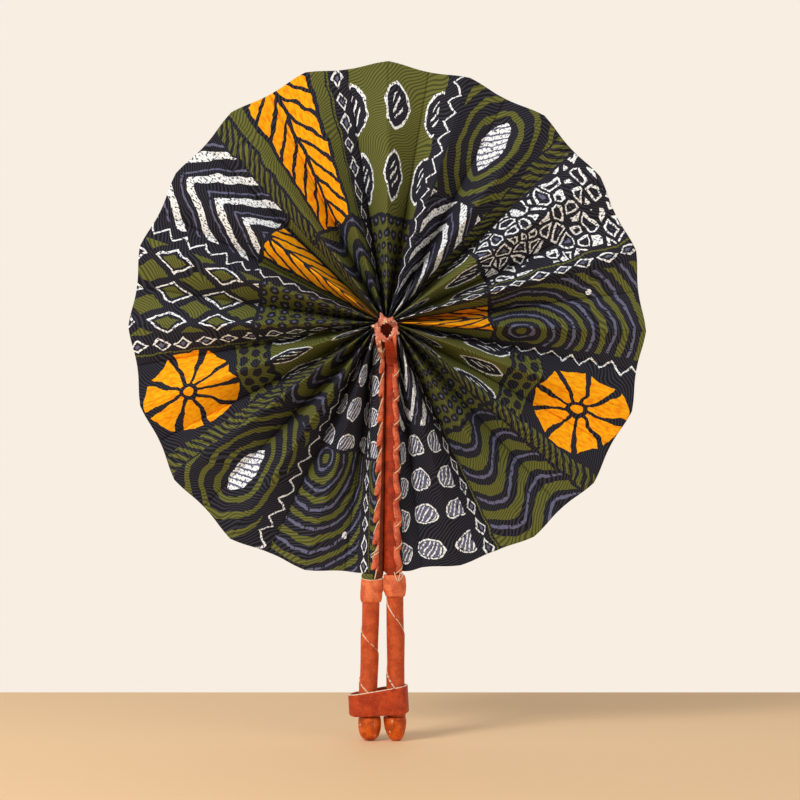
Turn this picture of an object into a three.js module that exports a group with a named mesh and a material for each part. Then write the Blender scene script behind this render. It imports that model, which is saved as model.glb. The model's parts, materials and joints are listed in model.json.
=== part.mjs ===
// Folding cloth hand fan that opens to a full disc around its hub, with two long stick handles.
// Millimetres. The disc stands in the X-Z plane, its front faces -Y, and the handle knobs end at z = 0.
import * as THREE from 'three';

// Overall places
const hubHeight = 288;            // hub centre above the bottoms of the knobs
const leafRadius = 181;           // hub centre to the rim of the leaf
const leafInnerRadius = 8.6;      // circle on which the inner ends of the pleats are gathered

// Leaf: one strip of cloth folded into pleats
const pleatCount = 20;            // front folds, counting the one shared by the two guards
const hubDepth = 13;              // how far a fold stands in front of or behind the disc at the hub
const rimDepth = 1.6;             // the same at the rim, where the leaf is pulled almost flat
const foldBow = 3;                // how much further out a fold stands halfway, as the cloth keeps its width
const clothThickness = 0.3;
const scallop = 1.7;              // rise of the rim at a front fold and its drop at a back fold
const guardGapAngle = 60;         // degrees of the hub circle that each guard keeps free of pleats
const endFoldDrop = 5;            // the back folds next to the guards end this much short of the rim
const radialSteps = 6;            // facets along a fold
const seamGap = 0.3;              // gap between neighbouring pieces

// Guards: the two sticks that the ends of the leaf are fixed to
const stickHubOffset = 4.5;       // stick axis beside the hub centre, at its top end
const stickFootOffset = 9.6;      // stick axis beside the centre line, at its bottom end
const stickTopBelowHub = 11;      // top end of the stick, measured down from the hub centre
const stickFootHeight = 9.4;      // bottom end of the stick, inside its knob
const stickTopRadius = 2.6;
const stickFootRadius = 4.6;
const sleeveWall = 0.7;           // leather sleeve round the stick between hub and collar
const guardClearance = 0.8;       // gap between the two sleeves, which are drawn out towards each other
const swellFade = 6;              // height above the collar over which a sleeve gets its full width
const rimClearance = 2.2;         // room between the rim of the leaf and the collars, before the scallop
const rightClothAngle = -6;       // where the cloth's edge lies round the right sleeve, 0 is outward
const leftClothTopAngle = -6;     // where the cloth first touches the left sleeve, at the hub
const leftClothRimAngle = 64;     // the same at the rim, where it comes round to the front
const leftClothEndAngle = 100;    // the left cloth runs over the front of its sleeve to this angle

// Lacing: a thong of leather whipped over the cloth's edge in overlapping tongues
const lacingTurns = 9;
const lacingBase = 0.8;           // leather thickness between two tongues
const lacingRise = 2.2;           // how far a tongue swells out at its free end
const rightLacingSpan = [4, 66];  // degrees round the sleeve
const leftLacingSpan = [106, 152];

// Collars, handles and knobs
const collarOverRim = { right: 9.2, left: 7.1 };       // top of the collar above the lowest point of the rim
const collarLength = { right: 15.4, left: 17.5 };
const collarRadius = 7.3;
const collarWall = 1.4;
const handleWrapWall = 1.1;
const wrapPitch = { right: 50, left: 35 };             // one turn of the strip wound round a handle
const wrapStep = 0.6;             // thickness of the strip's overlap
const knobRadius = 7.9;
const knobHeight = 16.8;
const knobFootRadius = 3.2;       // flat disc under the knob
const knobSocketDepth = 7.8;

// Hub: a leather washer in front and one behind, sewn together through the pleats by a cord
const hubRingRadius = 9.7;
const hubRingHole = 4.2;
const hubRingThickness = 1.7;
const hubRingRaggedness = 0.7;    // height of the hand-cut corners round the washer
const cordRadius = 0.7;
const cordWaves = 8;

// Closing band: a loose leather loop round both handles, pushed down over the knobs to free them
const bandWall = 1.6;
const bandSlack = 4.4;            // empty room inside the loop, left of the left handle
const bandHalfDepth = 8.4;
const bandLeftTop = 33;
const bandRightTop = 39;
const bandLeftBottom = 15;
const bandRightBottom = 18.5;

const leatherColour = 0xc45a32;
const faceCount = 2 * pleatCount;
const collarTop = {};
const collarBottom = {};
for (const label of ['right', 'left']) {
  collarTop[label] = hubHeight - leafRadius + collarOverRim[label];
  collarBottom[label] = collarTop[label] - collarLength[label];
}
const halfCloth = clothThickness / 2;

const material = (colour, roughness) => new THREE.MeshStandardMaterial({ color: colour, roughness, metalness: 0 });
const lerp = THREE.MathUtils.lerp;
const degrees = THREE.MathUtils.degToRad;

const fan = new THREE.Group();

/** Adds a closed solid: numbered points and triangles, turned so that the faces point outwards. */
function addSolid(name, points, triangles, look) {
  const a = new THREE.Vector3();
  let volume = 0;
  for (const [i, j, k] of triangles) {
    volume += a.copy(points[i]).dot(new THREE.Vector3().crossVectors(points[j], points[k]));
  }
  const order = volume < 0 ? triangles.map(([i, j, k]) => [i, k, j]) : triangles;
  const geometry = new THREE.BufferGeometry();
  geometry.setAttribute('position', new THREE.Float32BufferAttribute(points.flatMap((p) => p.toArray()), 3));
  geometry.setIndex(order.flat());
  geometry.computeVertexNormals();
  const mesh = new THREE.Mesh(geometry, look);
  mesh.name = name;
  fan.add(mesh);
}

/**
 * Joins section loops one after another; in each loop point i faces point (last - i) across the wall.
 * The two sides split their quads along facing diagonals, so a twisted wall keeps its thickness.
 */
function openLoft(name, sections, look) {
  const count = sections[0].length;
  const triangles = [];
  for (let s = 0; s + 1 < sections.length; s += 1) {
    for (let i = 0; i < count; i += 1) {
      const a = s * count + i;
      const b = s * count + ((i + 1) % count);
      if (i < count / 2) triangles.push([a, b, b + count], [a, b + count, a + count]);
      else triangles.push([a, b, a + count], [b, b + count, a + count]);
    }
  }
  const last = (sections.length - 1) * count;
  for (let i = 0; i + 1 < count / 2; i += 1) {
    const j = count - 1 - i;
    triangles.push([i, j, i + 1], [i + 1, j, j - 1]);
    triangles.push([last + i, last + i + 1, last + j], [last + i + 1, last + j - 1, last + j]);
  }
  addSolid(name, sections.flat(), triangles, look);
}

/** Joins section loops into a ring: the last loop meets the first. */
function ringLoft(name, sections, look) {
  const count = sections[0].length;
  const total = sections.length * count;
  const triangles = [];
  for (let s = 0; s < sections.length; s += 1) {
    for (let i = 0; i < count; i += 1) {
      const a = s * count + i;
      const b = s * count + ((i + 1) % count);
      triangles.push([a, b, (b + count) % total], [a, (b + count) % total, (a + count) % total]);
    }
  }
  addSolid(name, sections.flat(), triangles, look);
}

// The guards' sticks: the right one has side +1 and the left one side -1

/** Distance of the stick's axis from the centre line at height z. */
function stickOffset(z) {
  const share = (hubHeight - stickTopBelowHub - z) / (hubHeight - stickTopBelowHub);
  return lerp(stickHubOffset, stickFootOffset, share);
}

function stickRadius(z) {
  const share = (hubHeight - stickTopBelowHub - z) / (hubHeight - stickTopBelowHub);
  return lerp(stickTopRadius, stickFootRadius, share);
}

const sleeveRadius = (z) => stickRadius(z) + seamGap + sleeveWall;
const labelOf = (side) => (side > 0 ? 'right' : 'left');

/** Outside of the sleeve: round on the leaf's side and drawn out towards the other guard. */
function sleeveSkin(side, z, angle) {
  const top = collarTop[labelOf(side)];
  const reach = stickOffset(z) - sleeveRadius(z) - guardClearance / 2;
  const inward = Math.max(0, -Math.cos(degrees(angle))) ** 2;
  return sleeveRadius(z) + reach * inward * THREE.MathUtils.smoothstep(z, top, top + swellFade);
}

/** Point at a radius and an angle round a guard's stick; 0 degrees is outward and 90 is the front. */
function aroundStick(side, z, radius, angle) {
  const x = side * (stickOffset(z) + radius * Math.cos(degrees(angle)));
  return new THREE.Vector3(x, -radius * Math.sin(degrees(angle)), z);
}

// The leaf. Fold k is a straight crease; even folds stand in front of the disc and odd ones behind it

/**
 * Point on crease k: share 0 is its inner end on the gathering circle and share 1 its end at the rim.
 * A crease is straight as seen from the front, and bows to the front or the back in between.
 */
function creasePoint(k, share) {
  const front = k % 2 === 0 ? 1 : -1;
  const rimAngle = degrees(-90 + (360 / faceCount) * k);
  const hubAngle = degrees(-90 + guardGapAngle + ((360 - 2 * guardGapAngle) / faceCount) * k);
  const rimRadius = leafRadius - endFoldDrop * Math.max(0, 2 - Math.min(k, faceCount - k));
  const x = lerp(leafInnerRadius * Math.cos(hubAngle), rimRadius * Math.cos(rimAngle), share);
  const z = lerp(leafInnerRadius * Math.sin(hubAngle), rimRadius * Math.sin(rimAngle), share);
  const depth = lerp(hubDepth, rimDepth, share) + foldBow * Math.sin(Math.PI * Math.min(share, 1));
  return new THREE.Vector3(x, -front * depth, hubHeight + z);
}

/** Point where the leaf meets a guard, on the outside of its sleeve. */
function guardEdgePoint(side, share) {
  const end = collarTop[labelOf(side)] + rimClearance;
  const z = lerp(hubHeight - stickTopBelowHub - 1, end, share);
  const angle = side > 0 ? rightClothAngle : lerp(leftClothTopAngle, leftClothRimAngle, share);
  return aroundStick(side, z, sleeveRadius(z) + seamGap + halfCloth, angle);
}

function foldLine(k, share) {
  if (k === 0) return guardEdgePoint(1, share);
  if (k === faceCount) return guardEdgePoint(-1, share);
  return creasePoint(k, share);
}

/** Point on the leaf: place counts folds from the right guard, and share runs from hub to rim. */
function leafPoint(place, share) {
  const k = Math.min(Math.floor(place), faceCount - 1);
  const reach = share * (1 + (scallop * Math.cos(Math.PI * place)) / leafRadius);
  return foldLine(k, reach).lerp(foldLine(k + 1, reach), place - k);
}

/** Thickens a polyline across the leaf into a section loop, using the direction along the folds. */
function clothSection(line, along) {
  const upper = [];
  const lower = [];
  line.forEach((point, i) => {
    const before = line[Math.max(i - 1, 0)];
    const after = line[Math.min(i + 1, line.length - 1)];
    const normal = new THREE.Vector3().subVectors(after, before).cross(along).normalize();
    upper.push(point.clone().addScaledVector(normal, halfCloth));
    lower.unshift(point.clone().addScaledVector(normal, -halfCloth));
  });
  return [...upper, ...lower];
}

/** Section of one V-shaped fold: the two half faces that meet at its crease. */
function foldSection(k, share) {
  const edge = 0.5 - seamGap / (4 * hubDepth);
  const line = [-edge, -0.25, 0, 0.25, edge].map((offset) => leafPoint(k + offset, share));
  const along = new THREE.Vector3().subVectors(leafPoint(k, 1), leafPoint(k, 0)).normalize();
  const loop = clothSection(line, along);
  const toLeft = line[1].clone().sub(line[2]);
  const toRight = line[3].clone().sub(line[2]);
  const reach = toLeft.length();
  const inward = toLeft.normalize().add(toRight.normalize()).normalize();
  const halfAngle = toRight.angleTo(inward);
  const outer = line[2].clone().addScaledVector(inward, -halfCloth);
  const inner = line[2].clone().addScaledVector(inward, Math.min(halfCloth / Math.sin(halfAngle), 0.95 * reach));
  const upperIsOuter = loop[2].distanceTo(outer) < loop[7].distanceTo(outer);
  loop[2] = upperIsOuter ? outer : inner;
  loop[7] = upperIsOuter ? inner : outer;
  return loop;
}

const shares = Array.from({ length: radialSteps + 1 }, (_, i) => i / radialSteps);
const clothLook = material(0x2a282e, 0.9);

for (let k = 1; k < faceCount; k += 1) {
  const name = `fold_${String(k).padStart(2, '0')}`;
  openLoft(name, shares.map((share) => foldSection(k, share)), clothLook.clone());
}

/** The half face between the last fold and a guard, with the left one carried on over its sleeve. */
function endPanel(name, side, turnEnd) {
  const guardPlace = side > 0 ? 0 : faceCount;
  const arcSteps = 6;
  const sections = shares.map((share) => {
    const edge = 0.5 - seamGap / (4 * hubDepth);
    const line = [edge, 0.25, 0].map((offset) => leafPoint(guardPlace + side * offset, share));
    const start = line[2];
    const z = start.z;
    const startAngle = THREE.MathUtils.radToDeg(Math.atan2(-start.y, side * start.x - stickOffset(z)));
    for (let i = 1; i <= arcSteps && turnEnd > startAngle; i += 1) {
      const angle = lerp(startAngle, turnEnd, i / arcSteps);
      line.push(aroundStick(side, z, sleeveSkin(side, z, angle) + seamGap + halfCloth, angle));
    }
    return clothSection(line, new THREE.Vector3(0, 0, -1));
  });
  openLoft(name, sections, clothLook.clone());
}

endPanel('right_end_panel', 1, rightClothAngle - 1);
endPanel('left_end_panel', -1, leftClothEndAngle);

/** A tube round a guard's stick, from a closed profile of [radius, height] that may change with the angle. */
function tubeRound(name, side, profileAt, sides, look) {
  const sections = [];
  for (let s = 0; s < sides; s += 1) {
    const angle = (360 / sides) * s;
    sections.push(profileAt(angle).map(([radius, z]) => aroundStick(side, z, radius, angle)));
  }
  ringLoft(name, sections, look);
}

/** The wooden stick: a slim tapered rod with a rounded top end. */
function stick(name, side) {
  const top = hubHeight - stickTopBelowHub;
  const sides = 20;
  const levels = [
    [0.5, top],
    [0.85, top - 0.35 * stickTopRadius],
    [1, top - stickTopRadius],
    [1, collarTop.right],
    [1, stickFootHeight + 0.6],
    [0.88, stickFootHeight],
  ];
  const points = levels.flatMap(([share, z]) => Array.from({ length: sides }, (_, i) => (
    aroundStick(side, z, share * stickRadius(z), (360 / sides) * i))));
  const topCentre = points.push(aroundStick(side, top, 0, 0)) - 1;
  const footCentre = points.push(aroundStick(side, stickFootHeight, 0, 0)) - 1;
  const triangles = [];
  for (let i = 0; i < sides; i += 1) {
    const next = (i + 1) % sides;
    for (let level = 0; level + 1 < levels.length; level += 1) {
      const a = level * sides;
      triangles.push([a + i, a + sides + next, a + next], [a + i, a + sides + i, a + sides + next]);
    }
    const foot = (levels.length - 1) * sides;
    triangles.push([topCentre, i, next], [footCentre, foot + next, foot + i]);
  }
  addSolid(name, points, triangles, material(0x8a5a34, 0.7));
}

/** The smooth leather sleeve round the stick, open at both ends. */
function sleeve(name, side, bottom) {
  const top = hubHeight - stickTopBelowHub;
  const collarEnd = collarTop[labelOf(side)];
  const fadeLevels = [1, 0.75, 0.5, 0.25, 0].map((share) => collarEnd + share * swellFade);
  const profileAt = (angle) => [
    [stickRadius(top) + seamGap, top],
    [sleeveSkin(side, top, angle) - 0.2, top],
    ...[top - 0.4, ...fadeLevels, bottom].map((z) => [sleeveSkin(side, z, angle), z]),
    [stickRadius(bottom) + seamGap, bottom],
  ];
  tubeRound(name, side, profileAt, 20, material(0xb4491f, 0.55));
}

/** How far the thong stands out along its run: each tongue swells slowly and ends in a short drop. */
function tongue(share) {
  const w = (share * lacingTurns) % 1;
  return Math.sin(Math.PI * w ** 1.7) ** 0.8;
}

/** The whipped thong: a strip on the sleeve whose free edge swells into one tongue for each turn. */
function lacing(name, side, [from, to], bottom) {
  const top = hubHeight - stickTopBelowHub - 3;
  const steps = lacingTurns * 7;
  const across = 4;
  const sections = [];
  for (let s = 0; s <= steps; s += 1) {
    const share = s / steps;
    const z = lerp(top, bottom, share);
    const swell = tongue(share);
    const outer = [];
    const inner = [];
    for (let i = 0; i <= across; i += 1) {
      const u = i / across;
      const angle = lerp(from, to, u);
      const base = sleeveSkin(side, z, angle) + seamGap;
      const body = lacingBase + lacingRise * swell * Math.sin(Math.PI * (0.15 + 0.7 * u));
      const edge = i === 0 || i === across ? 0.5 : 1;
      outer.push(aroundStick(side, z, base + edge * body, angle));
      inner.unshift(aroundStick(side, z, base, angle));
    }
    sections.push([...outer, ...inner]);
  }
  openLoft(name, sections, material(0xd8582c, 0.6));
}

/** The collar: a thick leather ring that covers the ends of the sleeve, the cloth and the lacing. */
function collar(name, side, top, bottom) {
  const wide = collarRadius;
  const profile = [
    [wide - collarWall, top],
    [wide - 0.5, top],
    [wide - 0.1, top - 1],
    [wide, lerp(top, bottom, 0.45)],
    [wide - 0.1, lerp(top, bottom, 0.72)],
    [wide - 0.7, bottom + 0.8],
    [wide - 1.2, bottom],
    [stickRadius(bottom) + seamGap, bottom],
    [stickRadius(bottom) + seamGap, bottom + 2],
    [wide - collarWall, bottom + 3],
  ];
  tubeRound(name, side, () => profile, 24, material(0xd7724a, 0.65));
}

/**
 * The handle: a leather strip wound round the stick in a spiral, each turn lapping over the one above.
 * Seen from the front both spirals fall to the right; phase places the first turn.
 */
function handleWrap(name, side, top, phase) {
  const pitch = wrapPitch[labelOf(side)];
  const bottom = knobHeight + seamGap;
  const steps = 22;
  tubeRound(name, side, (angle) => {
    const outer = [];
    for (let i = 0; i <= steps; i += 1) {
      const z = lerp(bottom, top, i / steps);
      const lap = (((z / pitch - (side * angle) / 360 + phase) % 1) + 1) % 1;
      outer.push([stickRadius(z) + seamGap + handleWrapWall + wrapStep * (lap - 0.5), z]);
    }
    return [...outer, [stickRadius(top) + seamGap, top], [stickRadius(bottom) + seamGap, bottom]];
  }, 20, material(leatherColour, 0.6));
}

/** The knob: a rounded leather end with a socket for the stick and a small flat foot. */
function knob(name, side) {
  const centre = side * stickOffset(0);
  const socket = stickFootRadius + seamGap + 0.2;
  const socketFloor = knobHeight - knobSocketDepth;
  const profile = [
    new THREE.Vector2(0, socketFloor),
    new THREE.Vector2(socket, socketFloor),
    new THREE.Vector2(socket, knobHeight - 0.5),
    new THREE.Vector2(socket + 0.6, knobHeight),
    new THREE.Vector2(knobRadius - 1.2, knobHeight),
    new THREE.Vector2(knobRadius - 0.3, knobHeight - 1),
    new THREE.Vector2(knobRadius, knobHeight - 3.5),
    new THREE.Vector2(knobRadius, 6.5),
    new THREE.Vector2(knobRadius - 0.5, 3.6),
    new THREE.Vector2(knobRadius - 1.7, 1.5),
    new THREE.Vector2(knobRadius - 3.1, 0.4),
    new THREE.Vector2(knobFootRadius, 0),
    new THREE.Vector2(0, 0),
  ];
  const sides = 24;
  const points = [];
  const rings = profile.map((p) => {
    if (p.x === 0) return [points.push(new THREE.Vector3(centre, 0, p.y)) - 1];
    return Array.from({ length: sides }, (_, i) => {
      const angle = degrees((360 / sides) * i);
      return points.push(new THREE.Vector3(centre + p.x * Math.cos(angle), p.x * Math.sin(angle), p.y)) - 1;
    });
  });
  const triangles = [];
  for (let r = 0; r + 1 < rings.length; r += 1) {
    const a = rings[r];
    const b = rings[r + 1];
    for (let i = 0; i < sides; i += 1) {
      const next = (i + 1) % sides;
      if (b.length > 1) triangles.push([a[i % a.length], b[next], b[i]]);
      if (a.length > 1) triangles.push([a[i], a[next], b[next % b.length]]);
    }
  }
  addSolid(name, points, triangles, material(0xc86428, 0.6));
}

for (const [label, side] of [['right', 1], ['left', -1]]) {
  const top = collarTop[label];
  const bottom = collarBottom[label];
  stick(`${label}_stick`, side);
  sleeve(`${label}_sleeve`, side, bottom + 3.4);
  collar(`${label}_collar`, side, top, bottom);
  handleWrap(`${label}_handle_wrap`, side, bottom - seamGap, side > 0 ? 0.506 : 0.767);
  knob(`${label}_knob`, side);
}
lacing('right_lacing', 1, rightLacingSpan, collarTop.right + seamGap);
lacing('left_lacing', -1, leftLacingSpan, collarTop.left + seamGap);

// The hub

const ringSeat = hubDepth + halfCloth + seamGap;

/** A hand-cut leather washer: its outline has uneven corners, and its round hole shows the hub. */
function hubRing(name, near, side, turn) {
  const outline = new THREE.Shape();
  const corners = 26;
  for (let i = 0; i < corners; i += 1) {
    const angle = (2 * Math.PI * i) / corners;
    const ragged = Math.sin(5 * angle + turn) * 0.55 + Math.sin(11 * angle + 2 * turn) * 0.45;
    const radius = hubRingRadius + hubRingRaggedness * ragged;
    const point = [radius * Math.cos(angle), radius * Math.sin(angle)];
    if (i === 0) outline.moveTo(...point);
    else outline.lineTo(...point);
  }
  outline.closePath();
  const hole = new THREE.Path();
  hole.absarc(0, 0, hubRingHole, 0, 2 * Math.PI, true);
  outline.holes.push(hole);
  const geometry = new THREE.ExtrudeGeometry(outline, {
    depth: hubRingThickness - 0.6, bevelEnabled: true, bevelThickness: 0.3, bevelSize: 0.3, bevelSegments: 1,
    curveSegments: 20,
  });
  const mesh = new THREE.Mesh(geometry, material(0xc84a26, 0.6));
  mesh.name = name;
  mesh.rotation.x = (side * Math.PI) / 2;
  mesh.position.set(0, -side * (near + 0.3), hubHeight);
  fan.add(mesh);
}

hubRing('hub_ring_front', ringSeat, 1, 0.4);
hubRing('hub_ring_back', ringSeat, -1, 1.7);

/** The sewing cord: it runs up and down between the two washers, inside the ends of the pleats. */
function gatherCord(name) {
  const radius = leafInnerRadius - cordRadius - 2 * seamGap;
  const swing = ringSeat - seamGap - cordRadius;
  const steps = cordWaves * 12;
  const sides = 6;
  const at = (share) => {
    const angle = 2 * Math.PI * share;
    const y = swing * Math.cos(cordWaves * angle);
    return new THREE.Vector3(radius * Math.cos(angle), y, hubHeight + radius * Math.sin(angle));
  };
  const sections = [];
  for (let s = 0; s < steps; s += 1) {
    const centre = at(s / steps);
    const along = at((s + 0.5) / steps).sub(at((s - 0.5) / steps)).normalize();
    const outward = new THREE.Vector3(centre.x, 0, centre.z - hubHeight).normalize();
    const across = new THREE.Vector3().crossVectors(along, outward).normalize();
    const square = new THREE.Vector3().crossVectors(across, along).normalize();
    sections.push(Array.from({ length: sides }, (_, i) => {
      const angle = (2 * Math.PI * i) / sides;
      return centre.clone()
        .addScaledVector(square, cordRadius * Math.cos(angle))
        .addScaledVector(across, cordRadius * Math.sin(angle));
    }));
  }
  ringLoft(name, sections, material(0xd8cdb4, 0.9));
}

gatherCord('gather_cord');

/** The closing band: a loop with round ends that clears both knobs, its upper edge higher on the right. */
function closingBand(name) {
  const endRadius = bandHalfDepth;
  const rightCentre = stickOffset(0);
  const leftCentre = -stickOffset(0) - bandSlack;
  const arcSteps = 10;
  const runSteps = 6;
  const route = [];
  for (let i = 0; i <= arcSteps; i += 1) {
    const angle = lerp(-Math.PI / 2, Math.PI / 2, i / arcSteps);
    route.push([rightCentre, Math.cos(angle), Math.sin(angle)]);
  }
  for (let i = 1; i < runSteps; i += 1) route.push([lerp(rightCentre, leftCentre, i / runSteps), 0, 1]);
  for (let i = 0; i <= arcSteps; i += 1) {
    const angle = lerp(Math.PI / 2, (3 * Math.PI) / 2, i / arcSteps);
    route.push([leftCentre, Math.cos(angle), Math.sin(angle)]);
  }
  for (let i = 1; i < runSteps; i += 1) route.push([lerp(leftCentre, rightCentre, i / runSteps), 0, -1]);
  const left = leftCentre - endRadius - bandWall;
  const right = rightCentre + endRadius + bandWall;
  const sections = route.map(([centre, outX, outY]) => {
    const at = (reach, level) => {
      const x = centre + outX * reach;
      const share = (x - left) / (right - left);
      const low = lerp(bandLeftBottom, bandRightBottom, share);
      const high = lerp(bandLeftTop, bandRightTop, share);
      return new THREE.Vector3(x, outY * reach, lerp(low, high, level));
    };
    const inner = endRadius;
    const outer = endRadius + bandWall;
    return [
      at(inner, 0), at(outer - 0.3, 0), at(outer, 0.03), at(outer, 0.5),
      at(outer, 0.97), at(outer - 0.3, 1), at(inner, 1), at(inner, 0.5),
    ];
  });
  ringLoft(name, sections, material(0xa53c22, 0.5));
}

closingBand('closing_band');

export default fan;
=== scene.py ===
# %% [markdown]
# A round folding fan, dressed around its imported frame: one strip of printed cotton pleated into a
# full disc, two leather-covered sticks that hold its ends, and lacings, collars, wound handles,
# knobs and a loose band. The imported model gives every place, and this script adds the surfaces.

# %% Load the frame
import json
import math
from functools import partialmethod

import bmesh
import bpy
import numpy as np
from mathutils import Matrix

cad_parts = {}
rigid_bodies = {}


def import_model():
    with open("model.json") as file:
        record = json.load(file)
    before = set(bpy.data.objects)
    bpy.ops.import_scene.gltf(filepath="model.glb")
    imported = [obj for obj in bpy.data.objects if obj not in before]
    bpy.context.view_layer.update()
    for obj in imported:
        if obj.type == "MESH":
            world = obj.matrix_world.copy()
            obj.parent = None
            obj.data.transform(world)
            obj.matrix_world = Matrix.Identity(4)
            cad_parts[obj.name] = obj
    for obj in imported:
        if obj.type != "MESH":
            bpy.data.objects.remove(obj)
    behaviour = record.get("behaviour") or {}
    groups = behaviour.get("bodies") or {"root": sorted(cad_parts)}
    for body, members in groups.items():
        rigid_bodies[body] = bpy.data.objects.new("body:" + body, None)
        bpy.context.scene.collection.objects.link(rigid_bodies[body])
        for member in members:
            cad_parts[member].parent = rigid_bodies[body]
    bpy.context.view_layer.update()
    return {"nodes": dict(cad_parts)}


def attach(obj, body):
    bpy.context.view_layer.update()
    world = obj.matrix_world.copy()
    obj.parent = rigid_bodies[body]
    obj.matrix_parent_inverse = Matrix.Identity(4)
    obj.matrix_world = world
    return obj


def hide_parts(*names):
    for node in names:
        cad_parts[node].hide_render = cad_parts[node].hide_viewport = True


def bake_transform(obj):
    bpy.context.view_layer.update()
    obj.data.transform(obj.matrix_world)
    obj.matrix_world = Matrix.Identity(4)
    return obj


for leftover in list(bpy.data.objects):
    bpy.data.objects.remove(leftover)
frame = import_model()
MM = 0.001


def new_object(name, data):
    made = bpy.data.objects.new(name, data)
    bpy.context.scene.collection.objects.link(made)
    return made


# %% [markdown]
# The photograph looks straight at the disc, so the camera stands 1.6 m in front of it and looks
# along +Y. The picture is 560 mm wide where the fan stands. The real fan leans about half a degree
# to one side, so the camera is rolled by as much.

# %% Camera
HUB_HEIGHT = 288
HUB = (0, 0, HUB_HEIGHT * MM)
CAMERA_DISTANCE = 1600 * MM
PICTURE_WIDTH = 560 * MM
PICTURE_CENTRE = (10.3 * MM, 238.4 * MM)
CAMERA_ROLL = math.radians(-0.55)
SENSOR_WIDTH = 36

camera_data = bpy.data.cameras.new("camera")
camera_data.sensor_width = SENSOR_WIDTH
camera_data.lens = SENSOR_WIDTH * CAMERA_DISTANCE / PICTURE_WIDTH
camera = new_object("camera", camera_data)
camera.location = (PICTURE_CENTRE[0], -CAMERA_DISTANCE, PICTURE_CENTRE[1])
camera.rotation_euler = (math.pi / 2, CAMERA_ROLL, 0)
bpy.context.scene.camera = camera
print("lens:", round(camera_data.lens, 1), "mm")

# %% [markdown]
# Patterns such as a printed cloth are sums and comparisons of coordinates. Node by node that is
# long to write, so a small class lets shader numbers be added, multiplied and compared as ordinary
# numbers are. Each sign adds one Math node to the material.

# %% Arithmetic with shader numbers
def fill(tree, node, items):
    """Puts numbers, colours and outputs into a node's inputs, which are given by name or place."""
    for place, item in items.items():
        item = item.socket if isinstance(item, Value) else item
        if isinstance(item, bpy.types.NodeSocket):
            tree.links.new(item, node.inputs[place])
        else:
            node.inputs[place].default_value = item


def add_node(tree, kind, items, **settings):
    node = tree.nodes.new("ShaderNode" + kind)
    for name, setting in settings.items():
        setattr(node, name, setting)
    fill(tree, node, items)
    return node


class Value:
    """A number inside a material; arithmetic on it adds Math nodes to the same material."""

    def __init__(self, tree, socket):
        self.tree = tree
        self.socket = socket

    def math(self, operation, *others):
        items = dict(enumerate((self, *others)))
        return Value(self.tree, add_node(self.tree, "Math", items, operation=operation).outputs[0])

    __add__ = __radd__ = partialmethod(math, "ADD")
    __sub__ = partialmethod(math, "SUBTRACT")
    __mul__ = __rmul__ = partialmethod(math, "MULTIPLY")
    __truediv__ = partialmethod(math, "DIVIDE")
    __mod__ = partialmethod(math, "FLOORED_MODULO")
    __abs__ = partialmethod(math, "ABSOLUTE")
    __lt__ = partialmethod(math, "LESS_THAN")
    __gt__ = partialmethod(math, "GREATER_THAN")
    floor = partialmethod(math, "FLOOR")
    sine = partialmethod(math, "SINE")
    near = partialmethod(math, "COMPARE")

    def __rsub__(self, other):
        return self * -1 + other

    def ramp(self, low, high):
        """Rises smoothly from 0 at low to 1 at high."""
        items = {"Value": self, "From Min": low, "From Max": high}
        node = add_node(self.tree, "MapRange", items, interpolation_type="SMOOTHSTEP")
        return Value(self.tree, node.outputs[0])


def distance(x, y):
    """Length of the arrow (x, y)."""
    return (x * x + y * y).math("SQRT")


def combine(tree, x, y):
    return add_node(tree, "CombineXYZ", {0: x, 1: y}).outputs[0]


def split(tree, vector):
    """The three numbers of a vector or a colour."""
    return [Value(tree, number) for number in add_node(tree, "SeparateXYZ", {0: vector}).outputs]


def noise(tree, vector, scale, detail=2.0, stretch=None):
    """Smooth random number from 0 to 1; scale is in bumps per unit of the vector."""
    if stretch is not None:
        vector = add_node(tree, "Mapping", {"Vector": vector, "Scale": stretch}).outputs[0]
    node = add_node(tree, "TexNoise", {"Vector": vector, "Scale": scale, "Detail": detail})
    return Value(tree, node.outputs[0])


def blend_colours(tree, share, first, second):
    """The first colour where share is 0, the second where it is 1."""
    items = {"Factor": share, 6: first, 7: second}
    return add_node(tree, "Mix", items, data_type="RGBA").outputs[2]


def strip_map(tree):
    """The two numbers of a piece's own UV map, which is named strip."""
    return split(tree, add_node(tree, "UVMap", {}, uv_map="strip").outputs[0])[:2]


def object_place(tree):
    return add_node(tree, "TexCoord", {}).outputs["Object"]


def new_look(name):
    """An empty material and its node tree."""
    look = bpy.data.materials.new(name)
    look.use_nodes = True
    return look, look.node_tree


def finish_look(look, colour, roughness, height, depth, strength, specular=0.5):
    """Fills the Principled shader. The height becomes bump, and one whole unit of it is depth
    metres."""
    tree = look.node_tree
    bump = add_node(tree, "Bump", {"Strength": strength, "Distance": depth, "Height": height})
    fill(tree, tree.nodes["Principled BSDF"], {
        "Base Color": colour, "Roughness": roughness, "Specular IOR Level": specular,
        "Normal": bump.outputs[0]})
    return look


# %% [markdown]
# Light and stage stay plain. A large soft lamp stands high on the left, as in the photograph, so
# each pleat has a lighter and a darker side. The world gives the rest of the light, and only the
# camera, and a mirror or glass, sees it as a cream wall. The floor's back edge is level in the
# rolled picture.

# %% Colours, lamps and floor
bpy.context.scene.view_settings.view_transform = "Standard"


def srgb(red, green, blue):
    """A colour written as 0 to 255 becomes the linear numbers that shaders use."""
    share = np.array([red, green, blue]) / 255
    linear = np.where(share <= 0.04045, share / 12.92, ((share + 0.055) / 1.055) ** 2.4)
    return (*[float(c) for c in linear], 1.0)


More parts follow.
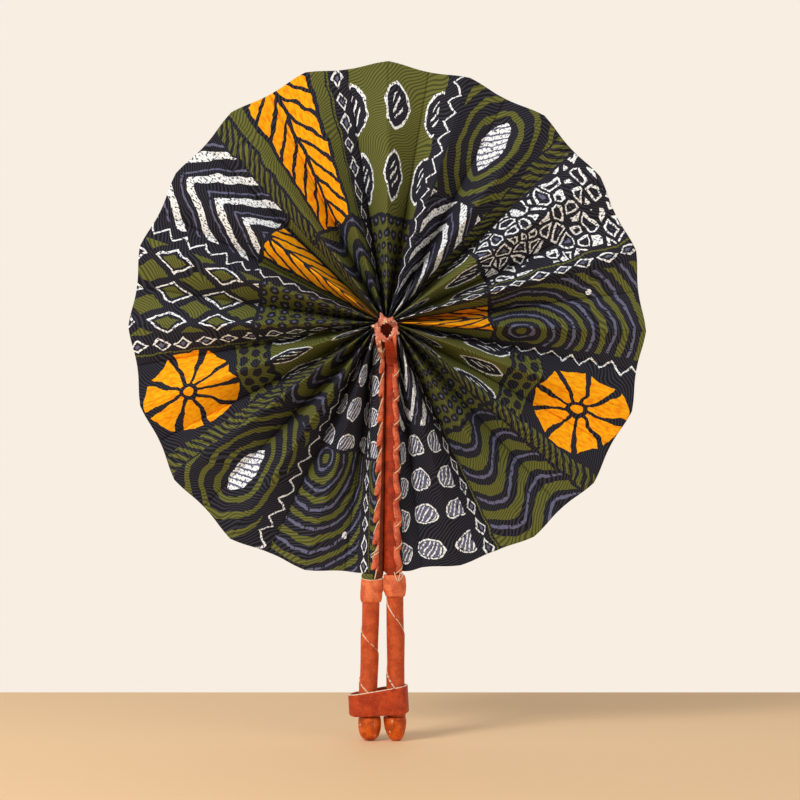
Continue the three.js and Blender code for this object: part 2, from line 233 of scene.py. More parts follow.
WALL = srgb(248, 238, 226)
FLOOR = srgb(240, 201, 154)
SKY = (1, 0.985, 0.96, 1)
SKY_STRENGTH = 0.5
FLOOR_REACH = 1.6
FLOOR_FRONT = -1.9
FLOOR_BACK = 263 * MM
FLOOR_SKEW = 0.075


def area_lamp(name, place, target, size, watts):
    """A square soft lamp at a place, turned to shine on a target point."""
    data = bpy.data.lights.new(name, "AREA")
    data.size = size
    data.energy = watts
    lamp = new_object(name, data)
    lamp.location = place
    x, y, z = np.array(target) - np.array(place)
    lamp.rotation_euler = (math.atan2(math.hypot(x, y), -z), 0, math.atan2(-x, y))


area_lamp("key_lamp", (-1.05, -1.15, 1.15), HUB, 0.55, 21)
area_lamp("fill_lamp", (1.3, -1.2, 0.5), HUB, 1.0, 4)

world = bpy.data.worlds.new("studio")
bpy.context.scene.world = world
world.use_nodes = True
sky = world.node_tree
sky.nodes.clear()
ray_kinds = add_node(sky, "LightPath", {}).outputs
seen = Value(sky, ray_kinds["Is Camera Ray"])
for ray in ("Is Glossy Ray", "Is Transmission Ray"):
    seen = seen.math("MAXIMUM", ray_kinds[ray])
light = add_node(sky, "Background", {"Color": SKY, "Strength": SKY_STRENGTH})
wall = add_node(sky, "Background", {"Color": WALL})
sky_mix = add_node(sky, "MixShader", {0: seen, 1: light.outputs[0], 2: wall.outputs[0]})
add_node(sky, "OutputWorld", {0: sky_mix.outputs[0]})

floor_mesh = bpy.data.meshes.new("floor")
floor_corners = [(x, FLOOR_FRONT, 0) for x in (-FLOOR_REACH, FLOOR_REACH)]
floor_corners += [(x, FLOOR_BACK + FLOOR_SKEW * x, 0) for x in (FLOOR_REACH, -FLOOR_REACH)]
floor_mesh.from_pydata(floor_corners, [], [(0, 1, 2, 3)])
floor = new_object("floor", floor_mesh)
floor_look, tree = new_look("pale_floor")
fill(tree, tree.nodes["Principled BSDF"], {"Base Color": FLOOR, "Roughness": 0.7})
floor_mesh.materials.append(floor_look)
print("stage: 2 lamps, wall and floor")

# %% [markdown]
# The cloth is one long printed strip, so its print is worked out in strip coordinates, carried by
# a UV map: u along the strip and v from the hub to the rim, in millimetres. Wide fields alternate
# with narrow stripes, each field has an inner and an outer patch, and each patch shows one simple
# traditional motif.

# %% Layout of the printed strip
PLEAT_COUNT = 20
FACE_COUNT = 2 * PLEAT_COUNT
LEAF_RADIUS = 181
LEAF_INNER_RADIUS = 8.6
STRIP_LENGTH = 2 * math.pi * LEAF_RADIUS
STRIP_HEIGHT = LEAF_RADIUS - LEAF_INNER_RADIUS
FACE_WIDTH = STRIP_LENGTH / FACE_COUNT
UV_UNIT = 1200
FIELD_COUNT = 13
FIELD = STRIP_LENGTH / FIELD_COUNT
FIELD_WIDE = 0.84 * FIELD
MOTIF_SCALE = 1.4

BLACK = srgb(17, 16, 20)
OLIVE = srgb(104, 107, 48)
SLATE = srgb(100, 102, 130)
WHITE = srgb(248, 253, 255)
ORANGE = srgb(255, 180, 4)
DEEP_ORANGE = srgb(240, 130, 0)

OUTER_FIELDS = [
    "ovals", "waves", "wheel", "arcs", "pebbles", "eyes", "lenses",
    "rays", "chevrons", "diamonds", "wheel", "eyes", "arcs",
]
INNER_FIELDS = [
    "chevrons", "dots", "lenses", "rays", "lenses", "chevrons", "dots",
    "waves", "rays", "dots", "lenses", "waves", "ovals",
]
print("strip:", round(STRIP_LENGTH), "x", round(STRIP_HEIGHT), "mm,", FIELD_COUNT, "fields")

# %% Motifs of the print
def chevrons(x, y):
    """Thick white chevrons: bands of y plus 0.9 times the distance from the field's middle."""
    level = (y + 0.9 * abs(x)) % 17
    return {"white": level < 5.6, "slate": (level > 9) * (level < 10.4)}


def lenses(x, y):
    """Pointed ovals in two columns. Two equal circles share a lens, and f is the depth in it."""
    across, along = (x + 12) % 24 - 12, y % 34 - 17
    f = 14.6 - distance(abs(across) + 7.2, along)
    core = (f > 4.6) * ((across * 0.9 + along * 0.5) % 3 < 1)
    return {"olive": f < 0, "white": (f > 0) * (f < 1.3) + core}


def dots(x, y):
    """Rows of black ovals on olive, every second row moved by half a step."""
    row = (y / 6.4).floor() % 2
    across, along = (x + row * 4.5) % 9 - 4.5, y % 6.4 - 3.2
    oval = distance(across / 3.9, along / 2.4)
    return {"olive": oval > 1, "slate": oval < 0.35}


def ovals(x, y):
    """Large lying ovals with a white edge and slanting white strokes on slate."""
    across, along = (x + 11.5) % 23 - 11.5, y % 18 - 9
    oval = distance(across / 8.6, along / 5.6)
    strokes = (across + 0.7 * along) % 3.1 < 1
    inside = oval < 0.8
    return {"slate": inside, "white": (oval < 1) * (oval > 0.86) + inside * strokes}


def wheel(x, y):
    """A sun wheel: nine orange rays with uneven ends round a small disc, and dots towards the
    hub."""
    y = y - 8
    radius = distance(x, y)
    angle = y.math("ARCTAN2", x)
    turn = angle * (9 / (2 * math.pi)) % 1 - 0.5
    to_gap = (0.5 - abs(turn)) * radius * (2 * math.pi / 9)
    end = radius * (turn * (2 * math.pi / 9)).math("COSINE") + 1.6 * (angle * 3 + 1).sine()
    rays = (radius > 5) * (end < 23.5) * (to_gap > 0.9) * (abs(turn) < 0.39)
    return {"orange": rays + (radius < 2.8), "olive": (y < -25) * dots(x, y)["olive"]}


def arcs(x, y):
    """Olive arcs round a point low on the left, like rings in cut wood."""
    level = distance(x + 15, y + 24) % 10
    spot = distance(x - 13, y - 12) < 2
    return {"olive": level < 3, "slate": (level > 5.6) * (level < 7), "white": spot}


def diamonds(x, y):
    """Upright diamonds with a white edge and an olive heart."""
    across, along = (x + 9) % 18 - 9, y % 25 - 12.5
    level = abs(across) / 9 + abs(along) / 12.5
    return {"white": (level > 0.66) * (level < 0.8), "olive": (level < 0.46) + (level > 1.3)}


def rays(x, y):
    """An orange panel with a black spine and black ribs that slope away from it."""
    rib = (y + 1.25 * abs(x)) % 11
    return {"orange": (rib > 3) * (abs(x) > 1.2) * (abs(x) < 15.5), "olive": abs(x) > 18}


def waves(x, y):
    """Black waves on olive, with a slate stroke that follows each of them."""
    level = (y + 5.5 * (x / 8).sine()) % 15
    return {"olive": level > 9, "slate": (level > 3) * (level < 4.8)}


def eyes(x, y):
    """One white lens with slate strokes, and olive bands along its outline."""
    lens = distance(abs(x) + 9, y - 4)
    core = lens < 16.4
    strokes = (x * 0.5 + y) % 3.6 < 1
    bands = (lens > 18.4) * ((lens - 20) % 8 < 3)
    return {"white": core * (1 - strokes), "slate": core * strokes, "olive": bands}


def pebbles(x, y):
    """White rings round slate hearts: the edges of cells round scattered points."""
    items = {"Vector": combine(x.tree, x, y * 1.4), "Scale": 0.1}
    cells = add_node(x.tree, "TexVoronoi", items, feature="DISTANCE_TO_EDGE")
    edge = Value(x.tree, cells.outputs["Distance"])
    return {"white": (edge > 0.1) * (edge < 0.2), "slate": edge > 0.36}


def stripe_eyes(x, y):
    """A chain of white-edged diamonds with slate hearts between two olive lines."""
    level = abs(x) / 5 + abs(y % 16 - 8) / 8
    return {"white": (level > 0.62) * (level < 0.9), "slate": level < 0.3, "olive": abs(x) > 5.8}


def stripe_zigzag(x, y):
    """One white zigzag line."""
    return {"white": abs(x - (abs(y % 14 - 7) * 1.1 - 3.8)) < 0.9}


def stripe_twist(x, y):
    """Slanting olive marks, as on a twisted cord."""
    return {"olive": (y + 0.8 * x) % 6 < 3}


MOTIFS = [chevrons, lenses, dots, ovals, wheel, arcs, diamonds, rays, waves, eyes, pebbles]
MOTIF_PLACES = {motif.__name__: place / 16 for place, motif in enumerate(MOTIFS)}
STRIPES = [stripe_eyes, stripe_twist, stripe_zigzag]
print("motifs:", *MOTIF_PLACES)

# %% [markdown]
# Printed wax cloth is never clean. Noise moves the coordinates before the motifs are drawn, so
# edges wander; it eats into the white, as a dry brush does, and shades the inks. Weave and soft
# creases come as bump, since they are finer than the mesh.

# %% Printed cotton
WANDER = 9
PATCH_SPLIT = (66, 96)
SEAM_LINE = 1.5
SIDE_LINE = 1.3


def field_choices(tree, number):
    """A stepped colour ramp along the fields: outer motif, inner motif, and a random number."""
    ramp = add_node(tree, "ValToRGB", {0: (number + 0.5) / FIELD_COUNT})
    ramp.color_ramp.interpolation = "CONSTANT"
    stops = ramp.color_ramp.elements
    rng = np.random.default_rng(11)
    for n, names in enumerate(zip(OUTER_FIELDS, INNER_FIELDS)):
        stop = stops[n] if n < 1 else stops.new(n / FIELD_COUNT)
        stop.position = n / FIELD_COUNT
        stop.color = (*[MOTIF_PLACES[name] for name in names], float(rng.random()), 1)
    stops.remove(stops[len(stops) - 1])
    return split(tree, ramp.outputs[0])


def print_on_cotton():
    """The printed cloth: strip coordinates, wandering edges, one motif per patch, five inks and
    weave."""
    look, tree = new_look("printed_cotton")
    plain_u, plain_v = [share * UV_UNIT for share in strip_map(tree)]
    cloth = combine(tree, plain_u, plain_v)
    wander = split(tree, noise(tree, cloth, 0.06, 3).socket.node.outputs["Color"])
    u = (plain_u + (wander[0] - 0.5) * WANDER).math("MAXIMUM", 0.2)
    v = plain_v + (wander[1] - 0.5) * WANDER
    in_field = u % FIELD
    number = (u / FIELD).floor()
    outer_kind, inner_kind, chance = field_choices(tree, number)
    middle = PATCH_SPLIT[0] + (PATCH_SPLIT[1] - PATCH_SPLIT[0]) * chance
    outer = v > middle
    kind = inner_kind + (outer_kind - inner_kind) * outer
    narrow = in_field > FIELD_WIDE
    x = (in_field - 0.5 * FIELD_WIDE) / MOTIF_SCALE
    y = (v - middle * 0.5 - outer * (STRIP_HEIGHT / 2)) / MOTIF_SCALE
    stripe_x = in_field - 0.5 * (FIELD + FIELD_WIDE)
    drawn = [(motif(x, y), kind.near(MOTIF_PLACES[motif.__name__], 0.01) * (1 - narrow))
             for motif in MOTIFS]
    drawn += [(stripe(stripe_x, v), (number % len(STRIPES)).near(place, 0.5) * narrow)
              for place, stripe in enumerate(STRIPES)]
    inks = {}
    for masks, here in drawn:
        for ink, mask in masks.items():
            inks[ink] = inks[ink] + mask * here if ink in inks else mask * here
    side = (in_field > SIDE_LINE) * (abs(in_field - FIELD_WIDE) > SIDE_LINE)
    open_cloth = (abs(v - middle) > SEAM_LINE) * side
    grain = noise(tree, cloth, 0.55, 2.0, (1, 0.35, 1))
    rings = noise(tree, cloth, 0.03, 1.0) * 24 + plain_v * 0.8
    hatch = (rings + plain_u * 0.5) % 1.9 < 0.8
    brushed = noise(tree, cloth, 0.8, 3.0, (1, 0.6, 1))
    colour = blend_colours(tree, hatch * 0.2, BLACK, SLATE)
    olive = blend_colours(tree, hatch * 0.6, OLIVE, BLACK)
    fire = blend_colours(tree, grain.ramp(0.35, 0.75), ORANGE, DEEP_ORANGE)
    chalk = blend_colours(tree, (brushed < 0.46) * 0.7, WHITE, SLATE)
    for mask, ink in [(inks["olive"], olive), (inks["slate"] * (grain > 0.4), SLATE),
                      (inks["orange"], fire), (inks["white"] * (brushed > 0.4), chalk)]:
        colour = blend_colours(tree, mask * open_cloth, colour, ink)
    weave = (plain_u * 11).sine() * (plain_v * 11).sine() * 0.06
    creases = noise(tree, cloth, 0.09, 3.0, (1, 0.3, 1))
    print("printed cotton:", len(tree.nodes), "nodes")
    return finish_look(look, colour, 0.82, creases + weave, 1.2 * MM, 0.55, specular=0.2)


printed_cotton = print_on_cotton()

# %% [markdown]
# A surface here is a grid of points worked out with numpy. In tubes and rings the last row or
# column repeats the first, and those doubles are welded afterwards, so the seam is closed and the
# UV map can still run from 0 to 1 across it.

# %% From a grid of points to a dressed piece
def together(*parts):
    """Numbers and arrays of different shapes, stacked as the coordinates of one grid of points."""
    return np.stack(np.broadcast_arrays(*parts), axis=-1).astype(float)


def plain_uv(points):
    """UV map of a grid: u from 0 to 1 from its first row to its last, and v from 0 to 1 across."""
    rows, columns = points.shape[:2]
    return together(np.linspace(0, 1, rows)[:, None], np.linspace(0, 1, columns)[None, :])


def grids_object(name, grids, look, weld=True, capped=False):
    """Makes one object of several grids: each is points in millimetres (rows, columns, 3) and its
    UV map. A single grid may come as its points alone. Welding closes the seams of tubes, and
    capped puts a flat face into every ring that stays open."""
    if isinstance(grids, np.ndarray):
        grids = [(grids, plain_uv(grids))]
    count = 0
    vertices, quads, corner_uvs = [], [], []
    for points, uv in grids:
        rows, columns = points.shape[:2]
        corner = (np.arange(rows - 1)[:, None] * columns + np.arange(columns - 1)[None, :]).ravel()
        faces = np.stack([corner, corner + 1, corner + columns + 1, corner + columns], axis=1)
        vertices.append(points.reshape(-1, 3) * MM)
        quads.append(faces + count)
        corner_uvs.append(uv.reshape(-1, 2)[faces.ravel()])
        count += rows * columns
    mesh = bpy.data.meshes.new(name)
    mesh.from_pydata(np.concatenate(vertices).tolist(), [], np.concatenate(quads).tolist())
    layer = mesh.uv_layers.new(name="strip")
    layer.data.foreach_set("uv", np.concatenate(corner_uvs).astype(np.float32).ravel())
    if weld:
        shape = bmesh.new()
        shape.from_mesh(mesh)
        bmesh.ops.remove_doubles(shape, verts=shape.verts, dist=1e-6)
        if capped:
            bmesh.ops.holes_fill(shape, edges=shape.edges, sides=0)
        bmesh.ops.recalc_face_normals(shape, faces=shape.faces)
        shape.to_mesh(mesh)
        shape.free()
    mesh.polygons.foreach_set("use_smooth", np.ones(len(mesh.polygons), bool))
    mesh.materials.append(look)
    return new_object(name, mesh)


def dress(piece, body, slot_name, *nodes):
    """Fixes a piece to a body and hides the solids that it stands for. slot_name is not used."""
    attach(piece, body)
    if nodes:
        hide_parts(*nodes)
    return piece


def soften(piece, levels=1):
    smooth = piece.modifiers.new("smooth", "SUBSURF")
    smooth.levels = smooth.render_levels = levels
    return smooth


def thicken(cloth):
    thick = cloth.modifiers.new("thickness", "SOLIDIFY")
    thick.thickness = CLOTH_THICKNESS * MM
    thick.offset = 0


# %% [markdown]
# Every face of the leaf lies between two creases and is a piece of cloth of its own: five columns
# of points from crease to crease, rounded by Subdivision Surface.

# %% Creases of the leaf
CLOTH_THICKNESS = 0.3
HUB_DEPTH = 13
RIM_DEPTH = 1.6
SCALLOP = 1.9
RIM_FOLDS = [1, 2, 3, 4, 6, 10, 12, 14, 16, 18, 20, 22, 24, 26, 30, 32, 34, 36, 37, 38, 39]
RIM_RADII = [171, 171.5, 175.5, 176.5, 179, 180, 181.5, 182, 184, 183.3, 185.5, 186.2, 184.3, 181,
             178.3, 178.2, 179.8, 180.8, 178.8, 176, 174]
GUARD_GAP_ANGLE = 60
END_FOLD_DROP = 5
CREASE_BOW = 3


def mix(first, second, share):
    return first + (second - first) * share


def nominal_radius(k):
    """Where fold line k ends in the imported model."""
    return LEAF_RADIUS - END_FOLD_DROP * max(0, 2 - min(k, FACE_COUNT - k))


def crease_point(k, share):
    """Crease k: a straight line in plan from the gathering circle to the rim, even k in front. Its
    depth falls from the hub to the rim and bows outwards by a half sine wave in between."""
    front = 1 if k % 2 == 0 else -1
    rim_angle = math.radians(-90 + 360 / FACE_COUNT * k)
    hub_angle = math.radians(-90 + GUARD_GAP_ANGLE + (360 - 2 * GUARD_GAP_ANGLE) / FACE_COUNT * k)
    x, z = [mix(LEAF_INNER_RADIUS * wave(hub_angle), nominal_radius(k) * wave(rim_angle), share)
            for wave in (math.cos, math.sin)]
    depth = mix(HUB_DEPTH, RIM_DEPTH, share) + CREASE_BOW * np.sin(np.pi * np.clip(share, 0, 1))
    return together(x, -front * depth, HUB_HEIGHT + z)


# %% [markdown]
# The two sticks are slim cones that lean apart a little towards the knobs. Everything on them is
# placed by its height, its distance from the stick's axis and its angle round it, with 0 degrees
# outwards and 90 to the front. In what is listed by side, 1 is the right stick and -1 the left
# one.

# %% The sticks as measuring rods
STICK_TOP = HUB_HEIGHT - 11
STICK_OFFSETS = (4.5, 9.6)
STICK_RADII = (2.6, 4.6)
SLEEVE_WALL = 0.7
SEAM_GAP = 0.3
COLLAR_TOP = {1: 116.2, -1: 114.1}
COLLAR_BOTTOM = {1: 100.8, -1: 96.6}
RIM_CLEARANCE = {1: 2.4, -1: 4.0}
CLOTH_TOP = STICK_TOP - 1
CLOTH_ANGLE = -6
EDGE_ANGLE = {1: CLOTH_ANGLE, -1: 64}
SIDE_NAMES = {1: "right", -1: "left"}
GUARD_OF_FOLD = {0: 1, FACE_COUNT: -1}


def stick_offset(z):
    return mix(*STICK_OFFSETS, (STICK_TOP - z) / STICK_TOP)


def stick_radius(z):
    return mix(*STICK_RADII, (STICK_TOP - z) / STICK_TOP)


def sleeve_radius(z):
    return stick_radius(z) + SEAM_GAP + SLEEVE_WALL


def cloth_radius(z):
    return sleeve_radius(z) + SEAM_GAP + CLOTH_THICKNESS / 2


def around_stick(side, z, radius, angle):
    """Points round a stick: x is the stick's offset plus radius times cosine, y minus radius times
    sine."""
    turn = np.radians(angle)
    return together(side * (stick_offset(z) + radius * np.cos(turn)), -radius * np.sin(turn), z)


def guard_edge(side, share):
    """The line on the sleeve where the leaf meets a guard; on the left it comes round to the
    front."""
    z = mix(CLOTH_TOP, COLLAR_TOP[side] + RIM_CLEARANCE[side], share)
    return around_stick(side, z, cloth_radius(z), mix(CLOTH_ANGLE, EDGE_ANGLE[side], share))


def fold_line(k, share):
    if k in GUARD_OF_FOLD:
        return guard_edge(GUARD_OF_FOLD[k], share)
    return crease_point(k, share)


def guard_piece(side, name, grids, look, slot_name, node=None, **how):
    """Makes a piece of grids on the guard of a side; node is the solid of that side that it
    replaces."""
    prefix = SIDE_NAMES[side]
    piece = grids_object(f"{prefix}_{name}", grids, look, **how)
    return dress(piece, f"{prefix}_guard", slot_name, *([f"{prefix}_{node}"] if node else []))


def make_both(maker):
    print("made:", [maker(side).name for side in SIDE_NAMES])


# %% [markdown]
# For two creases that aren't parallel these are the ends of their common perpendicular: seen
# along it, the whole first crease lies at the start and the whole second one at the end.

# %% Common perpendicular of two creases
def straight_ends(k):
    """Two points of the straight line that stands for fold line k when the leaf turns."""
    if k not in GUARD_OF_FOLD:
        return crease_point(k, np.array([0.0, 1.0]))
    side = GUARD_OF_FOLD[k]
    heights = np.array([CLOTH_TOP, COLLAR_TOP[side] + RIM_CLEARANCE[side]])
    return around_stick(side, heights, cloth_radius(heights), CLOTH_ANGLE)


def perpendicular_feet(first, second):
    """Feet of the common perpendicular: solve p + a u - b v + c (u x v) = q for a, b and c."""
    p, q = first[0], second[0]
    u, v = first[1] - p, second[1] - q
    a, b, _ = np.linalg.solve(np.array([u, -v, np.cross(u, v)]).T, q - p)
    return p + a * u, q + b * v


# %% Faces of the leaf
FACE_COLUMNS = np.array([0, 0.25, 0.5, 0.75, 1])
FACE_RELAX = 0.8
WRAP_END = {1: 24, -1: 100}
CLOTH_TUCK = {1: 0, -1: 2}
WRAP_COLUMNS = 6
share_rows = np.linspace(0, 1, 37)


def rim_radius(fold):
    """Radius of the rim at a place counted in folds: a short list of sizes, read between
    the folds, plus a cosine for the scallop, with its peaks at the front creases."""
    return np.interp(fold, RIM_FOLDS, RIM_RADII) + SCALLOP * math.cos(math.pi * fold)


def line_to_rim(k, fold):
    """Fold line k, made longer or shorter until it ends at the rim's radius at the place fold."""
    if k in GUARD_OF_FOLD:
        return fold_line(k, share_rows)
    stretch = (rim_radius(fold) - LEAF_INNER_RADIUS) / (nominal_radius(k) - LEAF_INNER_RADIUS)
    return fold_line(k, share_rows * stretch)


def face_points(k):
    """Face between fold lines k and k + 1: five lines from one to the other, pushed along the
    face's normal by a slow wave, most halfway between the lines and towards the rim. All faces are
    pushed the same way round the fan, so they lie in each other when it is closed."""
    lines = [mix(line_to_rim(k, k + share), line_to_rim(k + 1, k + share), share)
             for share in FACE_COLUMNS]
    normal = np.cross(lines[-1] - lines[0], np.gradient(lines[2], axis=0))
    normal /= np.linalg.norm(normal, axis=1)[:, None]
    onwards = 1 if k % 2 else -1
    relax = onwards * (0.7 + 0.3 * math.cos(0.8 * k + 1) * np.cos(5 * share_rows + 0.5 * k))
    rise = np.clip((share_rows - 0.12) / 0.4, 0, 1) ** 2
    push = normal * (FACE_RELAX * relax * rise)[:, None]
    pushed = [line + push * math.sin(math.pi * share) for line, share in zip(lines, FACE_COLUMNS)]
    return np.stack(pushed, axis=1)


def wrap_points(side):
    """The end of the cloth on its sleeve: columns of points from the leaf's edge on round the
    stick. The lowest rows of the left one go down into the cuff."""
    z = (guard_edge(side, share_rows)[:, 2] - CLOTH_TUCK[side] * share_rows ** 12)[:, None]
    top, rim = [np.linspace(first, WRAP_END[side], WRAP_COLUMNS + 1)[None, 1:]
                for first in (CLOTH_ANGLE, EDGE_ANGLE[side])]
    return around_stick(side, z, cloth_radius(z), mix(top, rim, share_rows[:, None]))


def leaf_face(k):
    """One face of the leaf as a piece of cloth between its two creases."""
    points = face_points(k)
    columns = FACE_COLUMNS
    wraps = 0.09 * np.arange(1, WRAP_COLUMNS + 1)
    before, after = f"fold_{k:02d}", f"fold_{k + 1:02d}"
    hidden = [after]
    if k == 0:
        points = np.concatenate([wrap_points(1)[:, ::-1], points], axis=1)
        columns = np.concatenate([-wraps[::-1], columns])
        before = "right_guard"
        hidden = [after, "right_end_panel"]
    if k == FACE_COUNT - 1:
        points = np.concatenate([points, wrap_points(-1)], axis=1)
        columns = np.concatenate([columns, 1 + wraps])
        after = "left_guard"
        hidden = ["left_end_panel"]
    u, v = (k + columns[None, :]) * FACE_WIDTH, share_rows[:, None] * STRIP_HEIGHT
    uv = together(u, v) / UV_UNIT
    face = grids_object(f"leaf_face_{k + 1:02d}", [(points, uv)], printed_cotton, weld=False)
    start, end = perpendicular_feet(straight_ends(k), straight_ends(k + 1))
    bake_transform(face)
    smooth = soften(face, 2)
    smooth.uv_smooth = "NONE"
    smooth.boundary_smooth = "PRESERVE_CORNERS"
    thicken(face)
    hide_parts(*hidden)
    return face


leaf = [leaf_face(k) for k in range(FACE_COUNT)]
print("leaf:", len(leaf), "faces of", round(FACE_WIDTH, 1), "x", round(STRIP_HEIGHT, 1), "mm")

# %% [markdown]
# The leather is vegetable-tanned, orange to red-brown, with a speckled grain, darker patches where
# hands have worn it and pale raw edges, which are drawn from the piece's UV map, whose v runs
# across it. All leather pieces share one recipe, and each has its own tone. On the washer's leather
# the pale specks and cream patches are partly its pale edges and partly painted highlights.

# %% Leather, cream thread and wood
CREAM = srgb(240, 222, 190)


def leather(name, tone, dark, pale, roughness, raw_edges=(), wear_and_highlight=0.0, speck=1500):
    """Leather of three tones: slow patches of dark, fine pale specks and pores, which are also the
    bump. raw_edges holds spans of the UV map's v that are cream; the number after it is the share
    of cream patches, worn skin on the knobs and painted highlights on the washer's leather; and
    speck is the fineness of the specks."""
    look, tree = new_look(name)
    place = object_place(tree)
    patches = noise(tree, place, 160, 3.0)
    specks = noise(tree, place, speck, 2.0)
    pores = noise(tree, place, 1100, 1.0, (1, 1, 0.6))
    colour = blend_colours(tree, patches.ramp(0.34, 0.66), dark, tone)
    colour = blend_colours(tree, specks.ramp(0.52, 0.68) * 0.45, colour, pale)
    colour = blend_colours(tree, (1 - pores.ramp(0.3, 0.42)) * 0.55, colour, dark)
    # Cream patches: worn skin, and on the washer's leather painted highlights.
    if wear_and_highlight > 0:
        worn_and_highlight_patches = noise(tree, place, 300, 4.0).ramp(0.66 - 0.1 * wear_and_highlight, 0.74 - 0.1 * wear_and_highlight)
        colour = blend_colours(tree, worn_and_highlight_patches * 0.8, colour, CREAM)
    if raw_edges:
        across = strip_map(tree)[1] + (noise(tree, place, 700, 2.0) - 0.5) * 0.02
        broken = noise(tree, place, 420, 2.0).ramp(0.36, 0.46)
        for start, end in raw_edges:
            inside = (across > start) * (across < end)
            colour = blend_colours(tree, inside * broken * 0.8, colour, CREAM)
    height = patches * 0.5 + specks * 0.22 + pores * 0.35
    return finish_look(look, colour, roughness, height, 0.35 * MM, 0.6, specular=0.25)


def grained(name, dark, pale, scale, detail, stretch, roughness, depth):
    """One noise between two tones, which is also the bump: the plies of thread or the grain of
    wood."""
    look, tree = new_look(name)
    place = object_place(tree)
    grain = noise(tree, place, scale, detail, stretch)
    colour = blend_colours(tree, grain.ramp(0.3, 0.7), dark, pale)
    return finish_look(look, colour, roughness, grain, depth, 0.5)


sleeve_leather = leather(
    "sleeve_leather", srgb(166, 47, 2), srgb(122, 29, 2), srgb(202, 90, 36), 0.5)
# Painted shade: a darker copy of the sleeve leather, for the left sleeve, which lies in shadow.
painted_shade_leather = leather(
    "painted_shade_leather", srgb(112, 42, 14), srgb(76, 26, 10), srgb(146, 76, 42), 0.55)
lace_leather = leather(
    "lace_leather", srgb(217, 104, 64), srgb(164, 54, 26), srgb(250, 182, 146), 0.55,
    raw_edges=[(0.9, 1.2)])
collar_leather = leather(
    "collar_leather", srgb(231, 120, 71), srgb(192, 83, 44), srgb(252, 176, 132), 0.6,
    raw_edges=[(-0.2, 0.016), (0.978, 1.2)])
handle_leather = leather(
    "handle_leather", srgb(200, 84, 36), srgb(170, 62, 22), srgb(222, 122, 74), 0.55,
    raw_edges=[(0.98, 1.2)])
knob_leather = leather(
    "knob_leather", srgb(216, 92, 16), srgb(160, 54, 8), srgb(238, 140, 56), 0.42, wear_and_highlight=0.1)
band_leather = leather(
    "band_leather", srgb(190, 68, 24), srgb(156, 46, 12), srgb(214, 100, 56), 0.5,
    raw_edges=[(0.318, 0.47)])
# Painted highlights: on this leather the pale specks and the cream patches stand partly for the
# thong's pale whipped edges and partly for pinkish highlights on it.
ring_leather_painted_highlights = leather(
    "ring_leather_painted_highlights", srgb(203, 108, 80), srgb(110, 30, 18), srgb(255, 220, 196), 0.55,
    wear_and_highlight=1.0, speck=700)
cream_thread = grained(
    "cream_thread", srgb(196, 160, 112), CREAM, 2600, 2.0, None, 0.85, 0.12 * MM)
wood = grained(
    "stick_wood", srgb(126, 82, 48), srgb(176, 128, 82), 900, 4.0, (1, 1, 0.06), 0.65, 0.2 * MM)

node_looks = {"right_stick": wood, "left_stick": wood, "gather_cord": cream_thread}
for node_name, look in node_looks.items():
    node_materials = frame["nodes"][node_name].data.materials
    node_materials.clear()
    node_materials.append(look)
print("materials:", len(bpy.data.materials))

# %% [markdown]
# The sleeve is a tube of smooth leather with an outer and an inner wall, a profile carried round
# the stick. It is round where the cloth is fixed and drawn out towards the other guard, so that
# the two close the disc between them. The left one is nearly covered, and its darker leather is
# painted shade.

# %% Sleeves of the two guards
SWELL_FADE = 1
SLEEVE_ABOVE_COLLAR_FOOT = 3.4


def smooth_rise(value, low, high):
    share = np.clip((value - low) / (high - low), 0, 1)
    return share * share * (3 - 2 * share)


def inward(angle):
    """1 straight towards the other guard, falling with the cosine to 0 at the front and the
    back."""
    return np.maximum(0, -np.cos(np.radians(angle)))


def sleeve_skin(side, z, angle):
    """Radius of the sleeve's outside: the plain tube, and towards the other guard the square of
    the inward share times the room that is left to the middle, fading out just above the
    collar."""
    reach = stick_offset(z) - sleeve_radius(z)
    swell = smooth_rise(z, COLLAR_TOP[side], COLLAR_TOP[side] + SWELL_FADE)
    return sleeve_radius(z) + reach * inward(angle) ** 2 * swell


def unevenness(angle, z, size, seed):
    """Slow hand-made waviness: four sine waves of random direction and phase in angle and
    height."""
    rng = np.random.default_rng(seed)
    total = 0
    for _ in range(4):
        around, along = rng.integers(1, 5), rng.uniform(-0.25, 0.25)
        total = total + np.sin(around * np.radians(angle) + along * z + rng.uniform(0, 6.3))
    return total * size / 4


def leather_sleeve(side):
    """Outer wall from the top to below the collar's edge, then the inner wall back up to the
    top."""
    down = np.linspace(STICK_TOP - 2, COLLAR_BOTTOM[side] + SLEEVE_ABOVE_COLLAR_FOOT, 60)
    outer = np.concatenate([[STICK_TOP, STICK_TOP - 0.5], down])
    z = np.concatenate([outer, outer[::-1], outer[:1]])[:, None]
    outside = np.repeat([True, False, True], [len(outer), len(outer), 1])[:, None]
    angle = np.linspace(0, 360, 49)[None, :]
    uneven = unevenness(angle, z, 0.12, 20 + side) * (1 - inward(angle))
    skin = sleeve_skin(side, z, angle) + uneven - 0.25 * (z > STICK_TOP - 0.2)
    points = around_stick(side, z, np.where(outside, skin, stick_radius(z) + SEAM_GAP / 2), angle)
    # The left sleeve takes the darker copy of the leather, which is painted shade.
    look = sleeve_leather if side > 0 else painted_shade_leather
    return guard_piece(side, "leather_sleeve", points, look, "leather_sleeve", "sleeve")


make_both(leather_sleeve)

# %% [markdown]
# The lacing is a flat thong whipped over the edge of the cloth. Each turn shows as a tongue:
# narrow near the other guard, fuller below, cut off where the next one starts. A tongue is a
# flattened tube whose width, thickness and angle round the stick are functions of the way along
# it.

# %% Tubes along a path
def curve(places, count=25):
    """Smooth curve through a few points: a polynomial for each coordinate that meets all of
    them."""
    share, fine = np.linspace(0, 1, len(places)), np.linspace(0, 1, count)
    fits = [np.polyfit(share, axis, len(places) - 1) for axis in np.array(places).T]
    return np.stack([np.polyval(fit, fine) for fit in fits], 1)


